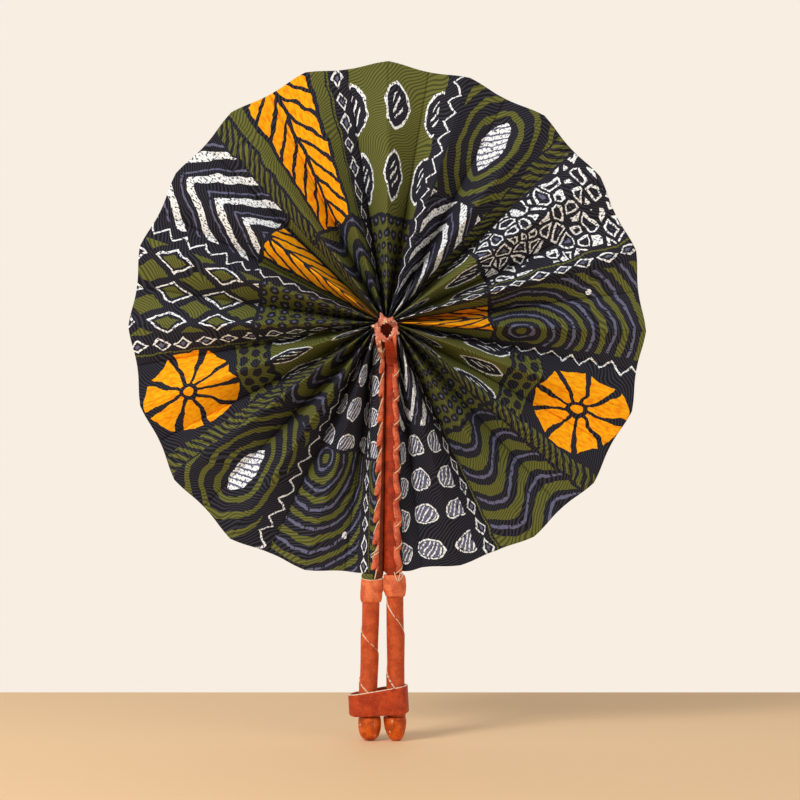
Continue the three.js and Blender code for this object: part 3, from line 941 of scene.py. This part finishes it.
def tube_along(path, width, thickness, sides=8):
    """Tube along a path: at each point an ellipse square to the path, with the half width across
    it and the half thickness towards the front. Both ends close in a point."""
    along = np.gradient(path, axis=0)
    along /= np.linalg.norm(along, axis=1)[:, None]
    across = np.cross(along, np.array([0, -1.0, 0]))
    across /= np.linalg.norm(across, axis=1)[:, None]
    away = np.cross(across, along)
    turn = np.linspace(0, 2 * np.pi, sides + 1)[None, :, None]
    steps = np.arange(len(path))
    taper = np.sqrt(np.clip(np.minimum(steps, steps[::-1]) / 2, 0, 1))
    width, thickness = [(half * taper)[:, None, None] for half in (width, thickness)]
    points = path[:, None] + across[:, None] * np.cos(turn) * width
    points = points + away[:, None] * np.sin(turn) * thickness
    return points, plain_uv(points)


# %% Lacing tongues and their threads
LACING_TURNS = 9
LACE_TOP = STICK_TOP - 2.5
TONGUE_OVERLAP = {1: 1.15, -1: 1.02}
BLUNT_SHARE = {1: 0.2, -1: 0.3}
NARROW_END = 9
LACE = {
    1: {"inner": 76, "outer": 42, "half_width": 36, "drift": 0, "full": 0.85,
        "bottom": COLLAR_TOP[1] + 0.6},
    -1: {"inner": 144, "outer": 112, "half_width": 27, "drift": 20, "full": 1.0,
         "bottom": COLLAR_TOP[-1] + 3.4},
}
LAST_STITCHES = {
    1: [
        [(-0.1, 2.6, 1.8), (0.0, -0.4, 3.0), (0.14, -4.4, 3.5)],
        [(0.5, 2.4, 2.2), (0.36, -0.2, 3.1), (0.16, -4.0, 3.5)],
        [(0.14, -4.6, 3.5), (0.42, -2.6, 3.4), (0.7, -0.4, 3.0), (0.95, 1.8, 1.6)],
    ],
    -1: [
        [(0.1, 18.4, 0.6), (0.4, 16.9, 1.6), (0.85, 14.8, 1.6), (1.0, 13.8, 0.8)],
        [(0.1, 20.6, 0.6), (0.4, 19.1, 1.6), (0.85, 16.8, 1.6), (1.0, 15.8, 0.8)],
        [(0.3, 6.4, 0.9), (0.36, 4.0, 1.5), (0.44, 1.8, 2.3), (0.5, -1.2, 2.3)],
    ],
}
lace_rng = np.random.default_rng(3)


def lace_drift(side, z):
    """Degrees by which the lacing has moved outwards at a height."""
    return LACE[side]["drift"] * (LACE_TOP - z) / (LACE_TOP - LACE[side]["bottom"])


def lacing_tongue(side, start, length):
    """One turn of the thong: s runs down it and t round its flat section. The middle moves
    outwards with s and from tongue to tongue. The half width starts narrow and is rounded off at
    the end; on the left it grows like a drop's, on the right it swells like a spindle's. On the
    left the outer edge is raw."""
    lace = LACE[side]
    s = np.linspace(0, 1, 25)[:, None]
    t = 2 * np.pi * np.linspace(0, 1, 17)[None, :]
    wide = lace["half_width"] + lace_rng.uniform(-3, 3)
    blunt = BLUNT_SHARE[side]
    rounding = np.sqrt(np.clip(1 - (np.clip(s - 1 + blunt, 0, 1) / blunt) ** 2, 0, 1))
    rounding = rounding * np.sqrt(np.clip(s / 0.06, 0, 1))
    swell = s if side < 0 else 0.35 + 0.65 * np.sin(np.pi * s) ** 1.5
    turned = mix(NARROW_END, wide, swell) * rounding * np.cos(t)
    angle = mix(lace["inner"], lace["outer"], s ** 0.75) - lace_drift(side, start) + turned
    z = start - s * length + 0.05 * turned
    full = mix(0.5, lace["full"] + lace_rng.uniform(-0.1, 0.2), swell) * rounding
    lift = 0.1 + mix(-0.5, 0.6, s) + full * (0.6 + np.sin(t))
    points = around_stick(side, z, sleeve_skin(side, z, angle) + np.maximum(lift, -0.3), angle)
    uv = plain_uv(points)
    uv[:, :, 1] = (1 - np.abs(2 * uv[:, :, 1] - 1)) * (1 if side < 0 else 0.8)
    return points, uv


def lacing_base(side):
    """The thong's flat run on the sleeve, seen only between two tongues, and narrow on the
    left."""
    lace = LACE[side]
    z = np.linspace(LACE_TOP, lace["bottom"], 80)[:, None]
    t = 2 * np.pi * np.linspace(0, 1, 17)[None, :]
    middle = (lace["inner"] + lace["outer"]) / 2 - 3 if side > 0 else lace["inner"] - 4
    half_width = (18 if side > 0 else 8) + 2 * np.sin(z * 1.1)
    angle = middle - lace_drift(side, z) + half_width * np.cos(t)
    ends = np.sqrt(np.clip(np.minimum(LACE_TOP - z, z - lace["bottom"]) / 1.5, 0, 1))
    lift = (0.25 + 0.45 * np.sin(t)) * ends
    points = around_stick(side, z, sleeve_skin(side, z, angle) + lift, angle)
    return points, plain_uv(points) * [1, 0.8]


def lace_path(side, places):
    """Path over the lacing through places given as (degrees from inner to outer as a share, z,
    lift)."""
    fine = np.linspace(0, len(places) - 1, 4 * len(places))
    share, z, lift = [np.interp(fine, np.arange(len(places)), axis) for axis in np.array(places).T]
    angle = mix(LACE[side]["inner"] + 8, LACE[side]["outer"] - 22, share) - lace_drift(side, z)
    return around_stick(side, z, sleeve_skin(side, z, angle) + lift, angle)


def lacing(side):
    """Nine tongues on their base, and cream thread: along each tongue on the left, in short
    slanting stitches between two tongues on the right, and the last stitches at the collar."""
    bottom = LACE[side]["bottom"]
    pitch = (LACE_TOP - bottom) / LACING_TURNS
    tongues = [lacing_base(side)]
    threads = []
    for n in range(LACING_TURNS):
        start = LACE_TOP - pitch * n + (0 if n == 0 else lace_rng.uniform(0, 2.5))
        length = min(TONGUE_OVERLAP[side] * pitch, start - bottom)
        tongues.append(lacing_tongue(side, start, length))
        end = start - length
        if side < 0:
            strand = [(0.05, start + 0.6, 0.3), (0.46, start - 0.22 * pitch, 1.0)]
            strand += [(0.66, start - 0.43 * pitch, 1.3), (0.8, start - 0.62 * pitch, 1.1)]
        else:
            strand = [(0.0, end + 0.2, 1.0), (0.3, end + 1.8, 2.0), (0.75, end + 4.2, 1.8)]
            strand += [(1.1, end + 4.5 + lace_rng.uniform(0, 3), 0.9)]
        threads.append(tube_along(lace_path(side, strand), 0.34, 0.24))
        if side > 0 and lace_rng.random() > 0.6:
            low = end + 6 + lace_rng.uniform(0, 3)
            stitch = [(0.0, low, 1.0), (0.1, low + 3, 1.0), (0.05, low + 6, 0.9)]
            threads.append(tube_along(lace_path(side, stitch), 0.26, 0.2))
    for turn in LAST_STITCHES[side]:
        places = [(share, COLLAR_TOP[side] + climb, lift) for share, climb, lift in turn]
        threads.append(tube_along(lace_path(side, places), 0.36, 0.26))
    piece = guard_piece(side, "thong_lacing", tongues, lace_leather, "leather_lacing", "lacing")
    guard_piece(side, "lacing_threads", threads, cream_thread, "sewing_cord")
    return piece


make_both(lacing)

# %% [markdown]
# The collar is a thick strip of tan leather wrapped round the ends of cloth and lacing. The left
# one widens downwards and has a raw cream edge that dips at the front; the right one is
# barrel-shaped. Both are a little out of round and flat where they meet. From here down the
# leather sits a little outwards of the stick's axis.

# %% Collars
LEAN = {1: 0.4, -1: 0.9}
COLLAR_PROFILE = {
    1: ([0, 0.1, 0.3, 0.52, 0.74, 0.92, 1], [6.7, 7.4, 7.8, 7.9, 7.6, 7.1, 6.4]),
    -1: ([0, 0.05, 0.3, 0.6, 0.8, 0.93, 1], [7.2, 7.4, 7.6, 7.8, 7.8, 7.4, 6.7]),
}
COLLAR_BORE = ([0, 0.75, 0.85, 1], [5.7, 5.7, 5.0, 4.6])
COLLAR_EDGE_UV = {1: ([1, 0.96], [0, 0.018]), -1: ([1, 1], [0, 0])}
INWARD_BULGE = 1.2
MEETING_HEIGHT = 106
MEETING_GAP = 0.04
TOP_DIP = {1: 0.0, -1: 1.2}


def collar(side):
    """Closed wall round a stick: outer and inner radii by height. The outside is uneven, bulges
    towards the other collar and stops just short of the middle between the two."""
    share = np.linspace(0, 1, 26)
    levels = mix(COLLAR_TOP[side], COLLAR_BOTTOM[side], share)
    outer = np.interp(share, *COLLAR_PROFILE[side])
    inner = np.interp(share, *COLLAR_BORE)
    z = np.concatenate([levels, levels[::-1], levels[:1]])[:, None]
    radius = np.concatenate([outer, inner[::-1], outer[:1]])[:, None]
    angle = np.linspace(0, 360, 61)[None, :]
    bulge = INWARD_BULGE * inward(angle) ** 3 * smooth_rise(z, MEETING_HEIGHT - 3, MEETING_HEIGHT)
    skin = radius + unevenness(angle, z, 0.28, 31 + side) + bulge
    room = (stick_offset(z) + LEAN[side] - MEETING_GAP) / np.maximum(inward(angle), 0.01)
    skin = np.where(radius > inner.max() + 0.2, np.minimum(skin, room), radius)
    high = np.clip((z - COLLAR_TOP[side] + 8) / 8, 0, 1) ** 2
    dip = TOP_DIP[side] * high * np.maximum(0, np.sin(np.radians(angle)))
    points = around_stick(side, z - dip, skin, angle) + [side * LEAN[side], 0, 0]
    stretch, start = COLLAR_EDGE_UV[side]
    grids = [(points, plain_uv(points)[:, :, ::-1] * stretch + start)]
    piece = guard_piece(side, "leather_collar", grids, collar_leather, "leather_collar", "collar")
    soften(piece)
    return piece


make_both(collar)

# %% [markdown]
# On the left the cloth goes on below the rim and bulges out before it enters the collar. This cuff
# is a strip of the same print round the front and the outer side of the stick, a profile of radius
# and height.

# %% Cloth cuff above the left collar
CUFF_HEIGHTS = [2.8, 2.3, 1.5, 0.6, -0.2, -1.2, -2.2, -4.3, -6.4]
CUFF_RADII = [5.9, 6.5, 6.95, 7.0, 6.8, 6.2, 5.5, 5.4, 5.4]
CUFF_ANGLES = (-75, 100)
CUFF_PRINT = (6.42 * FIELD + 17, 170.5)


def cloth_cuff():
    """Open strip of cloth: radius by height from the list, angle from behind the stick to its
    front."""
    angle = np.linspace(*CUFF_ANGLES, 25)[None, :]
    share = np.linspace(0, 1, len(CUFF_RADII))[:, None]
    z = COLLAR_TOP[-1] + np.array(CUFF_HEIGHTS)[:, None]
    radius = np.array(CUFF_RADII)[:, None] + unevenness(angle, z, 0.05, 9)
    points = around_stick(-1, z, radius, angle) + [-LEAN[-1], 0, 0]
    u = CUFF_PRINT[0] + np.radians(angle - 70) * 6.9
    uv = together(u, CUFF_PRINT[1] - 10 * share) / UV_UNIT
    cuff = grids_object("left_cloth_cuff", [(points, uv)], printed_cotton, weld=False)
    dress(cuff, "left_guard", "cloth_print")
    thicken(cuff)
    return cuff


print("made:", cloth_cuff().name)

# %% [markdown]
# The handles are wound with a leather strip in a falling spiral. So that the strip's edge doesn't
# cut across the grid in steps, the grid is wound too: one direction follows the strip round and
# round, and the other goes across it, from one edge to the next turn's edge.

# %% Handles wound with a strip
WRAP_WALL = 1.75
WRAP_STEP = 0.6
WRAP_BOTTOM = 17.1
WRAP_IN_COLLAR = 2
WRAP_PITCH = {1: 50, -1: 35}
WRAP_PHASE = {1: 0.506, -1: 0.767}
STEPS_ROUND = 48


def wound_handle(side):
    """A spiral strip: height = pitch * (lap + turns), where lap runs across the strip from 0 to 1.
    The strip is thickest at its upper edge, which laps over the turn above and ends in a small
    step."""
    pitch, phase = WRAP_PITCH[side], WRAP_PHASE[side]
    top = COLLAR_BOTTOM[side] + WRAP_IN_COLLAR
    steps = (math.ceil((top - WRAP_BOTTOM) / pitch) + 2) * STEPS_ROUND
    wound = np.arange(-steps, steps + 1)[None, :] / STEPS_ROUND
    plain = np.linspace(0, 0.93, 22)
    lap = np.concatenate([plain, [0.965, 0.985, 0.996, 0.999, 1.0]])
    high = np.concatenate([plain, [0.965, 0.985, 0.96, 0.8, 0.0]])
    free = pitch * (lap[:, None] - phase + side * wound)
    z = np.clip(free, WRAP_BOTTOM, top)
    cut = (free < WRAP_BOTTOM) | (free > top)
    lap_there = (z / pitch + phase - side * wound) % 1
    step = np.where(cut, np.interp(lap_there, lap, high), high[:, None])
    angle = 360 * wound
    radius = stick_radius(z) + SEAM_GAP + WRAP_WALL + WRAP_STEP * (step - 0.5)
    radius = radius + unevenness(angle, z, 0.22, 41 + side)
    first, last = np.flatnonzero(~cut.all(axis=0))[[0, -1]]
    points = around_stick(side, z, radius, angle) + [side * LEAN[side], 0, 0]
    uv = together(wound * 0.2, lap[:, None])
    grids = [(points[:, first - 1:last + 2], uv[:, first - 1:last + 2])]
    return guard_piece(
        side, "wound_handle", grids, handle_leather, "leather_handle", "handle_wrap", capped=True)


make_both(wound_handle)

# %% [markdown]
# Each stick ends in a rounded leather knob, the left one blunt and the right one more pointed and
# leaning outwards. The profile is a few radii with heights, smoothed by interpolation, and turned
# round.

# %% Knobs
KNOB_HEIGHTS = [16.8, 16.8, 16.2, 13.5, 9.5, 6.2, 3.6, 1.7, 0.5, 0.0, 0.0]
KNOB_RADII = {
    1: [5.6, 7.6, 8.0, 8.0, 7.6, 6.8, 5.7, 4.6, 3.1, 1.8, 0.0],
    -1: [5.2, 7.0, 7.7, 7.95, 7.9, 7.5, 6.6, 5.2, 3.4, 2.0, 0.0],
}
KNOB_TOP = 16.0
KNOB_MIDDLE = 8.8
KNOB_LEAN = {1: 0.06, -1: 0.0}


def knob(side):
    """Profile turned round the foot of the stick, upright as the solid is, with a closed top."""
    steps = np.arange(len(KNOB_HEIGHTS))
    along = np.linspace(0, steps[-1], 44)
    radius = np.concatenate([[0.0], np.interp(along, steps, KNOB_RADII[side])])[:, None]
    z = np.concatenate([[KNOB_TOP], np.interp(along, steps, KNOB_HEIGHTS)])[:, None]
    angle = np.linspace(0, 360, 49)[None, :]
    lumps = unevenness(angle, 2.5 * z, 0.3, 51 + side) * np.clip(radius / 6, 0, 1)
    radius = radius + lumps * np.clip(z / 2, 0, 1)
    middle = side * (KNOB_MIDDLE + KNOB_LEAN[side] * (KNOB_TOP - z))
    turn = np.radians(angle)
    points = together(middle + radius * np.cos(turn), radius * np.sin(turn), z)
    piece = guard_piece(side, "leather_knob", points, knob_leather, "leather_knob", "knob")
    soften(piece)
    return piece


make_both(knob)

# %% [markdown]
# The closing band is a loose loop of harness leather, a little askew, lower and wider on the left,
# with a pale cut edge. A rounded section is carried round a route seen from above: two half
# circles joined by straight runs.

# %% Closing band
BAND_WALL = 1.4
BAND_SHEAR = 0.06
BAND_MIDDLE = 28
BAND_UPTURN = 1.2
BAND_RIGHT_INSET = 1.1
BAND_SLACK = 4.4
BAND_HALF_DEPTH = 8.4
BAND_LOW = (16.8, 19.4)
BAND_HIGH = (32.2, 39.8)


def closing_band():
    """Points = centre + direction * reach, where reach is the inner or outer side of the wall. The
    height runs from the lower to the upper edge, both of which climb to the right. The lower edge
    turns up at both ends, and the whole band leans a little, its lower part further right."""
    right, left = stick_offset(0) - BAND_RIGHT_INSET, -stick_offset(0) - BAND_SLACK
    bow = np.linspace(-np.pi / 2, np.pi / 2, 25)
    run = np.linspace(0, 1, 14)[1:-1]
    route = [
        together(right, np.cos(bow), np.sin(bow)), together(mix(right, left, run), 0, 1),
        together(left, -np.cos(bow), -np.sin(bow)), together(mix(left, right, run), 0, -1),
    ]
    centre, out_x, out_y = np.concatenate([*route, route[0][:1]]).T[:, :, None]
    corner = np.linspace(0, np.pi, 7)
    up = np.linspace(0.04, 0.96, 14)
    section = [
        together(up, 0, 1), together(0.96, np.sin(corner), np.cos(corner)),
        together(up[::-1], 0, -1), together(0.04, -np.sin(corner), -np.cos(corner)),
    ]
    share, rim, wall = np.concatenate([*section, section[0][:1]]).T[:, None, :]
    reach = BAND_HALF_DEPTH + BAND_WALL / 2 * (1 + wall)
    x = centre + out_x * reach
    width = right - left + 2 * (BAND_HALF_DEPTH + BAND_WALL)
    across = (x - (left - BAND_HALF_DEPTH - BAND_WALL)) / width
    z = mix(mix(*BAND_LOW, across), mix(*BAND_HIGH, across), share) + 0.6 * rim
    z = z + BAND_UPTURN * np.abs(out_x) ** 6 * (1 - share)
    sag = 0.25 * np.sin(x * 0.5) * np.sin(np.pi * share)
    points = together(x + BAND_SHEAR * (BAND_MIDDLE - z), out_y * (reach + sag), z)
    piece = grids_object("leather_band", points, band_leather)
    return dress(piece, "closing_band", "leather_band", "closing_band")


print("made:", closing_band().name)

# %% [markdown]
# The front washer is a rough ring of sewn thong, lumpy, with a few cut corners that stick out: a
# flat ring whose two half widths change with the angle. A leather patch behind the hub closes the
# hole, which is why it looks dark.

# %% Washers at the hub
RING_MIDDLE = 6.2
RING_HALF_WIDTH = 1.9
RING_HALF_THICKNESS = 0.85
RING_SEAT = HUB_DEPTH + CLOTH_THICKNESS / 2 + SEAM_GAP
CORNERS = [(112, 4.6), (170, 2.6), (62, 1.6), (22, 1.0), (-24, 1.0), (-150, 1.0)]
PATCH_REACH = np.array([0, 0.4, 0.8, 0.96, 1, 0.96, 0.8, 0.4, 0])[None, :]
PATCH_DEPTH = np.array([0, 0, 0, 0.15, 0.8, 1.45, 1.6, 1.6, 1.6])[None, :]


def away_from(turn, angle):
    """Degrees between each angle of turn and the angle given, from 0 to 180."""
    return np.abs(np.degrees(np.angle(np.exp(1j * (turn - math.radians(angle))))))


def hub_ring():
    """Flat ring in the disc's plane. Three spirals of different pitch make its section swell and
    shrink, the hole is drawn to a point below, and each corner adds a narrow peak outside."""
    turn = np.linspace(0, 2 * np.pi, 241)[:, None]
    t = np.linspace(0, 2 * np.pi, 25)[None, :]
    swell = 1 + 0.16 * np.sin(11 * turn + t + 2 * np.sin(turn))
    swell = swell + 0.12 * np.sin(17 * turn - 2 * t + 1) + 0.14 * np.sin(5 * turn + 2 * t + 4)
    low_point = np.exp(-away_from(turn, -88) / 16)
    middle = RING_MIDDLE + 3.0 * low_point - 0.7 * np.maximum(0, np.sin(turn))
    peaks = sum(height * np.exp(-(away_from(turn, angle) / 9) ** 1.5) for angle, height in CORNERS)
    radius = middle + RING_HALF_WIDTH * swell * np.cos(t) + peaks * np.maximum(np.cos(t), 0)
    y = -RING_SEAT - RING_HALF_THICKNESS * (1 + swell * np.sin(t))
    points = together(0.4 + radius * np.cos(turn), y, HUB_HEIGHT + radius * np.sin(turn))
    # The washer's leather carries painted highlights in its pale specks and patches.
    piece = grids_object("hub_washer_front", points, ring_leather_painted_highlights)
    return dress(piece, "right_guard", "leather_washer", "hub_ring_front")


def hub_patch():
    """Patch behind the hub: a flat closed form whose outline bulges downwards over the sticks'
    tops."""
    turn = np.linspace(0, 2 * np.pi, 121)[:, None]
    outline = 9.6 + 5.6 * np.maximum(0, -np.sin(turn)) + 0.3 * np.sin(5 * turn)
    radius = (outline + 0.25 * np.sin(11 * turn + 1)) * PATCH_REACH
    y = RING_SEAT + 0.05 + PATCH_DEPTH
    points = together(radius * np.cos(turn), y, HUB_HEIGHT + radius * np.sin(turn))
    piece = grids_object("hub_patch_back", [(points, plain_uv(points) * [1, 0.3])], band_leather)
    return dress(piece, "right_guard", "leather_washer", "hub_ring_back")


print("made:", [hub_ring().name, hub_patch().name])

# %% [markdown]
# On the real fan the washer's thong runs on down both guards, and the leather of the right sleeve
# ends in a tab that is sewn over it. Three short bent straps close that distance.

# %% Straps between the washer and the guards
STRAPS = {
    "right_sleeve_tab": (
        [(1.4, -15.2, 280.2), (2.4, -14.6, 276), (3.4, -8.4, 270), (4.0, -4.3, 262)],
        [2.2, 3.0, 3.6, 3.6], 0.55, sleeve_leather, "leather_sleeve"),
    # This strap takes the washer's leather, whose pale specks and patches are partly painted
    # highlights.
    "left_thong_strap": (
        [(-5.6, -14.6, 283.4), (-4.8, -14.4, 277.5), (-3.6, -9.5, 272), (-2.6, -5.3, 267)],
        [1.9, 1.8, 1.5, 1.2], 0.6, ring_leather_painted_highlights, "leather_lacing"),
    "right_thong_strap": (
        [(6.4, -14.9, 284), (6.1, -14.2, 278), (6.3, -9.0, 273), (6.6, -5.6, 267)],
        [1.3, 1.3, 1.4, 1.3], 0.6, lace_leather, "leather_lacing"),
}


def strap(name):
    """A flat bent strap through a few places, its half width changing evenly along it."""
    places, widths, thickness, look, slot_name = STRAPS[name]
    path = curve(places)
    widths = np.interp(np.linspace(0, 1, len(path)), np.linspace(0, 1, len(widths)), widths)
    piece = grids_object(name, [tube_along(path, widths, thickness, 16)], look)
    return dress(piece, name.split("_")[0] + "_guard", slot_name)


print("made:", [strap(name).name for name in STRAPS])
